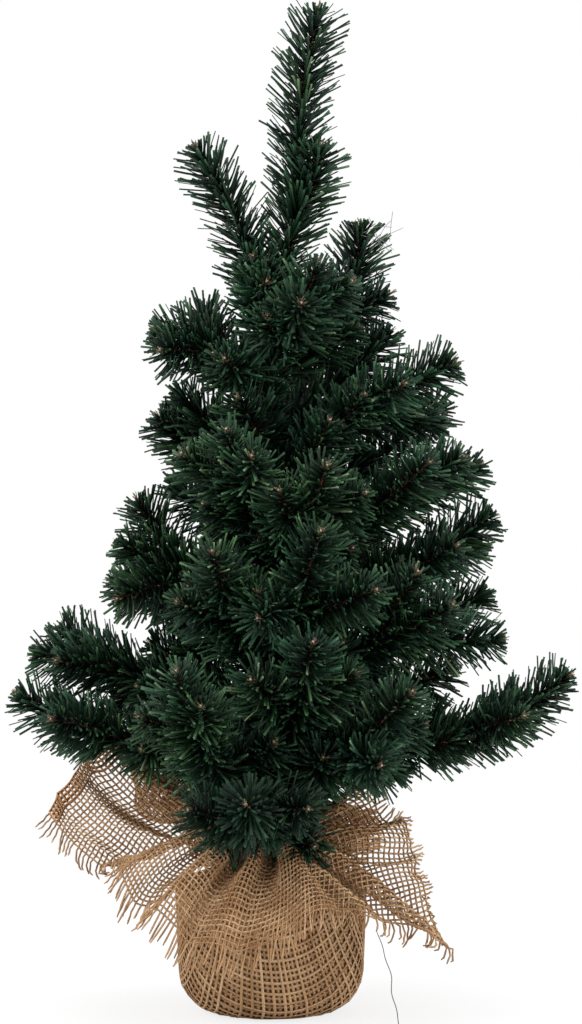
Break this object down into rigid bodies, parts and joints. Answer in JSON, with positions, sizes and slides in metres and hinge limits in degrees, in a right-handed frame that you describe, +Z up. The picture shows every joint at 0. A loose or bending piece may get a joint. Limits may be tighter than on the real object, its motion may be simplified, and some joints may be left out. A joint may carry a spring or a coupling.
{
  "type": "artificial tabletop tree",
  "caption": "Small artificial fir tree with bendable twisted-wire branches of needles on a taped trunk, weighted base wrapped in gathered burlap.",
  "frame": {"origin": "centre of the flat underside of the burlap-wrapped base, on the table, under the trunk's axis", "axes": "+Z up along the trunk, +X to the right in the picture, +Y away from the viewer of the picture"},
  "size_m": [0.3391, 0.2794, 0.5985],
  "materials": {
    "cement": "matte",
    "cup": "satin",
    "burlap": "matte",
    "twine": "matte",
    "rod": "satin",
    "tape": "matte",
    "wire": "satin",
    "needles": "satin"
  },
  "bodies": {
    "base": {"cement_weight": "cement", "casting_cup": "cup", "burlap_wrap": "burlap", "neck_tie": "twine", "trunk_core": "rod", "trunk_wrap": "tape"},
    "leader": {"leader_stem": "wire", "leader_needles": "needles"},
    "lower_branch_1": {"lower_branch_1_stem": "wire", "lower_branch_1_needles": "needles"},
    "lower_branch_2": {"lower_branch_2_stem": "wire", "lower_branch_2_needles": "needles"},
    "lower_branch_3": {"lower_branch_3_stem": "wire", "lower_branch_3_needles": "needles"},
    "lower_branch_4": {"lower_branch_4_stem": "wire", "lower_branch_4_needles": "needles"},
    "lower_branch_5": {"lower_branch_5_stem": "wire", "lower_branch_5_needles": "needles"},
    "lower_branch_6": {"lower_branch_6_stem": "wire", "lower_branch_6_needles": "needles"},
    "lower_branch_7": {"lower_branch_7_stem": "wire", "lower_branch_7_needles": "needles"},
    "lower_branch_8": {"lower_branch_8_stem": "wire", "lower_branch_8_needles": "needles"},
    "lower_branch_9": {"lower_branch_9_stem": "wire", "lower_branch_9_needles": "needles"},
    "middle_branch_1": {"middle_branch_1_stem": "wire", "middle_branch_1_needles": "needles"},
    "middle_branch_2": {"middle_branch_2_stem": "wire", "middle_branch_2_needles": "needles"},
    "middle_branch_3": {"middle_branch_3_stem": "wire", "middle_branch_3_needles": "needles"},
    "middle_branch_4": {"middle_branch_4_stem": "wire", "middle_branch_4_needles": "needles"},
    "middle_branch_5": {"middle_branch_5_stem": "wire", "middle_branch_5_needles": "needles"},
    "middle_branch_6": {"middle_branch_6_stem": "wire", "middle_branch_6_needles": "needles"},
    "middle_branch_7": {"middle_branch_7_stem": "wire", "middle_branch_7_needles": "needles"},
    "upper_branch_1": {"upper_branch_1_stem": "wire", "upper_branch_1_needles": "needles"},
    "upper_branch_2": {"upper_branch_2_stem": "wire", "upper_branch_2_needles": "needles"},
    "upper_branch_3": {"upper_branch_3_stem": "wire", "upper_branch_3_needles": "needles"},
    "upper_branch_4": {"upper_branch_4_stem": "wire", "upper_branch_4_needles": "needles"},
    "upper_branch_5": {"upper_branch_5_stem": "wire", "upper_branch_5_needles": "needles"},
    "upper_branch_6": {"upper_branch_6_stem": "wire", "upper_branch_6_needles": "needles"},
    "upper_branch_7": {"upper_branch_7_stem": "wire", "upper_branch_7_needles": "needles"},
    "top_branch_1": {"top_branch_1_stem": "wire", "top_branch_1_needles": "needles"},
    "top_branch_2": {"top_branch_2_stem": "wire", "top_branch_2_needles": "needles"},
    "top_branch_3": {"top_branch_3_stem": "wire", "top_branch_3_needles": "needles"}
  },
  "joints": [
    {"name": "leader_bend", "type": "hinge", "parent": "base", "child": "leader", "pos_m": [0.001, 0, 0.3993], "axis": [0, 1, 0], "range_deg": [-20, 30], "deforming": ["leader_needles"]},
    {"name": "lower_branch_1_bend", "type": "hinge", "parent": "base", "child": "lower_branch_1", "pos_m": [0.00773, -0.00136, 0.13883], "axis": [-0.1736, -0.9848, 0], "range_deg": [-25, 35], "deforming": ["lower_branch_1_needles"]},
    {"name": "lower_branch_2_bend", "type": "hinge", "parent": "base", "child": "lower_branch_2", "pos_m": [0.00509, -0.00607, 0.12989], "axis": [-0.766, -0.6428, 0], "range_deg": [-25, 45], "deforming": ["lower_branch_2_needles"]},
    {"name": "lower_branch_3_bend", "type": "hinge", "parent": "base", "child": "lower_branch_3", "pos_m": [-0.00084, -0.00803, 0.11202], "axis": [-0.9945, 0.1045, 0], "range_deg": [-25, 20], "deforming": ["lower_branch_3_needles"]},
    {"name": "lower_branch_4_bend", "type": "hinge", "parent": "base", "child": "lower_branch_4", "pos_m": [0.00161, -0.00756, 0.15372], "axis": [-0.9781, -0.2079, 0], "range_deg": [-25, 25], "deforming": ["lower_branch_4_needles"]},
    {"name": "lower_branch_5_bend", "type": "hinge", "parent": "base", "child": "lower_branch_5", "pos_m": [-0.00299, -0.00739, 0.12393], "axis": [-0.9272, 0.3746, 0], "range_deg": [-20, 30], "deforming": ["lower_branch_5_needles"]},
    {"name": "lower_branch_6_bend", "type": "hinge", "parent": "base", "child": "lower_branch_6", "pos_m": [-0.00777, -0.00095, 0.14181], "axis": [-0.1219, 0.9925, 0], "range_deg": [-20, 5], "deforming": ["lower_branch_6_needles"]},
    {"name": "lower_branch_7_bend", "type": "hinge", "parent": "base", "child": "lower_branch_7", "pos_m": [-0.00755, 0.00066, 0.1716], "axis": [0.0872, 0.9962, 0], "range_deg": [-10, 40], "deforming": ["lower_branch_7_needles"]},
    {"name": "lower_branch_8_bend", "type": "hinge", "parent": "base", "child": "lower_branch_8", "pos_m": [-0.00485, 0.0062, 0.13585], "axis": [0.788, 0.6157, 0], "range_deg": [-20, 30], "deforming": ["lower_branch_8_needles"]},
    {"name": "lower_branch_9_bend", "type": "hinge", "parent": "base", "child": "lower_branch_9", "pos_m": [0.00298, 0.00737, 0.12691], "axis": [0.9272, -0.3746, 0], "range_deg": [-25, 40], "deforming": ["lower_branch_9_needles"]},
    {"name": "middle_branch_1_bend", "type": "hinge", "parent": "base", "child": "middle_branch_1", "pos_m": [0.00604, -0.00423, 0.19543], "axis": [-0.5736, -0.8192, 0], "range_deg": [-20, 45], "deforming": ["middle_branch_1_needles"]},
    {"name": "middle_branch_2_bend", "type": "hinge", "parent": "base", "child": "middle_branch_2", "pos_m": [0.00713, -0.00012, 0.22522], "axis": [-0.0175, -0.9998, 0], "range_deg": [-25, 15], "deforming": ["middle_branch_2_needles"]},
    {"name": "middle_branch_3_bend", "type": "hinge", "parent": "base", "child": "middle_branch_3", "pos_m": [0.00201, -0.00702, 0.20436], "axis": [-0.9613, -0.2756, 0], "range_deg": [-25, 5], "deforming": ["middle_branch_3_needles"]},
    {"name": "middle_branch_4_bend", "type": "hinge", "parent": "base", "child": "middle_branch_4", "pos_m": [-0.0024, -0.00698, 0.19543], "axis": [-0.9455, 0.3256, 0], "range_deg": [-25, 25], "deforming": ["middle_branch_4_needles"]},
    {"name": "middle_branch_5_bend", "type": "hinge", "parent": "base", "child": "middle_branch_5", "pos_m": [-0.00699, -0.00098, 0.23416], "axis": [-0.1392, 0.9903, 0], "range_deg": [-25, 35], "deforming": ["middle_branch_5_needles"]},
    {"name": "middle_branch_6_bend", "type": "hinge", "parent": "base", "child": "middle_branch_6", "pos_m": [-0.00554, 0.00465, 0.2133], "axis": [0.6428, 0.766, 0], "range_deg": [-25, 40], "deforming": ["middle_branch_6_needles"]},
    {"name": "middle_branch_7_bend", "type": "hinge", "parent": "base", "child": "middle_branch_7", "pos_m": [0.0022, 0.00676, 0.2282], "axis": [0.9511, -0.309, 0], "range_deg": [-25, 40], "deforming": ["middle_branch_7_needles"]},
    {"name": "upper_branch_1_bend", "type": "hinge", "parent": "base", "child": "upper_branch_1", "pos_m": [0.00628, -0.00066, 0.32353], "axis": [-0.1045, -0.9945, 0], "range_deg": [-25, 45], "deforming": ["upper_branch_1_needles"]},
    {"name": "upper_branch_2_bend", "type": "hinge", "parent": "base", "child": "upper_branch_2", "pos_m": [0.0066, -0.00177, 0.26097], "axis": [-0.2588, -0.9659, 0], "range_deg": [-15, 25], "deforming": ["upper_branch_2_needles"]},
    {"name": "upper_branch_3_bend", "type": "hinge", "parent": "base", "child": "upper_branch_3", "pos_m": [0.00247, -0.00643, 0.25501], "axis": [-0.9336, -0.3584, 0], "range_deg": [-25, 40], "deforming": ["upper_branch_3_needles"]},
    {"name": "upper_branch_4_bend", "type": "hinge", "parent": "base", "child": "upper_branch_4", "pos_m": [-0.0022, -0.00639, 0.2699], "axis": [-0.9455, 0.3256, 0], "range_deg": [-25, 35], "deforming": ["upper_branch_4_needles"]},
    {"name": "upper_branch_5_bend", "type": "hinge", "parent": "base", "child": "upper_branch_5", "pos_m": [-0.00591, -0.00083, 0.36523], "axis": [-0.1392, 0.9903, 0], "range_deg": [-25, 35], "deforming": ["upper_branch_5_needles"]},
    {"name": "upper_branch_6_bend", "type": "hinge", "parent": "base", "child": "upper_branch_6", "pos_m": [-0.0054, 0.00364, 0.29969], "axis": [0.5592, 0.829, 0], "range_deg": [-25, 30], "deforming": ["upper_branch_6_needles"]},
    {"name": "upper_branch_7_bend", "type": "hinge", "parent": "base", "child": "upper_branch_7", "pos_m": [0.00132, 0.0062, 0.32055], "axis": [0.9781, -0.2079, 0], "range_deg": [-25, 25], "deforming": ["upper_branch_7_needles"]},
    {"name": "top_branch_1_bend", "type": "hinge", "parent": "base", "child": "top_branch_1", "pos_m": [-0.00569, -0.001, 0.38906], "axis": [-0.1736, 0.9848, 0], "range_deg": [-25, 0], "deforming": ["top_branch_1_needles"]},
    {"name": "top_branch_2_bend", "type": "hinge", "parent": "base", "child": "top_branch_2", "pos_m": [0.00475, 0.00345, 0.37715], "axis": [0.5878, -0.809, 0], "range_deg": [-25, 35], "deforming": ["top_branch_2_needles"]},
    {"name": "top_branch_3_bend", "type": "hinge", "parent": "base", "child": "top_branch_3", "pos_m": [0.00306, -0.0049, 0.38906], "axis": [-0.848, -0.5299, 0], "range_deg": [-25, 35], "deforming": ["top_branch_3_needles"]}
  ]
}
